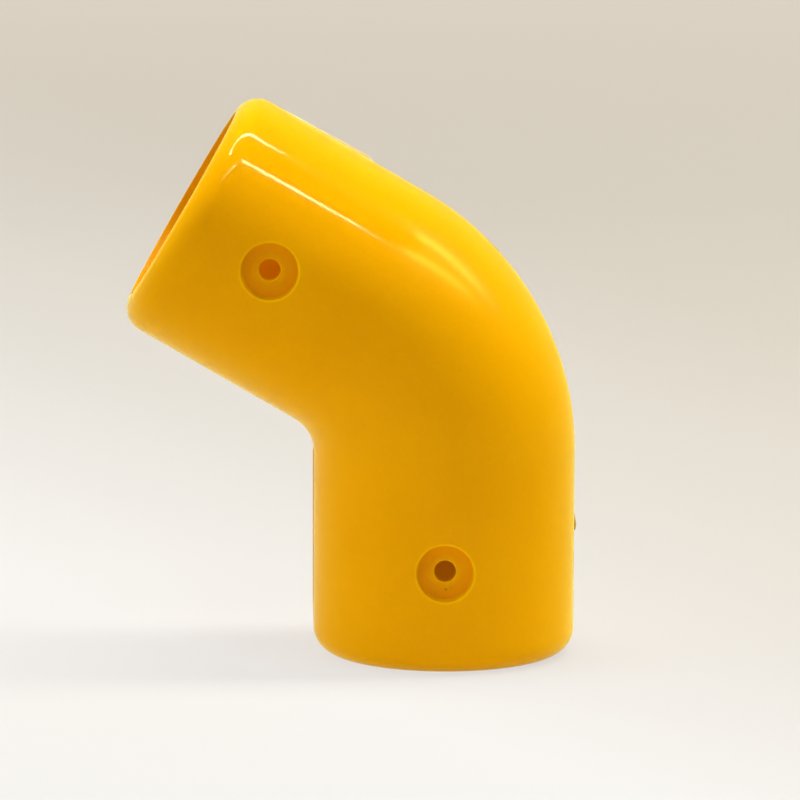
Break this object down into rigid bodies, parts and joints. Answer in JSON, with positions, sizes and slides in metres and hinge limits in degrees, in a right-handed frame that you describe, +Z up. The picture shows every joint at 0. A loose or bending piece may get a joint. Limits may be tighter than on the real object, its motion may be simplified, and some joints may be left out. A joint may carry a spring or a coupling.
{
  "type": "tube elbow connector",
  "caption": "One-piece moulded elbow that joins round tubes end to end at an obtuse angle, with rounded mouths and a counterbored screw seat on each leg.",
  "frame": {"origin": "centre of the lower socket's mouth", "axes": "+Z up along the lower socket, away from its mouth; the upper leg leans to -X in the XZ plane; the screw seats face -Y"},
  "size_m": [0.109, 0.0634, 0.1347],
  "materials": {
    "yellow_plastic": "gloss"
  },
  "bodies": {
    "root": {"elbow_body": "yellow_plastic"}
  },
  "joints": []
}
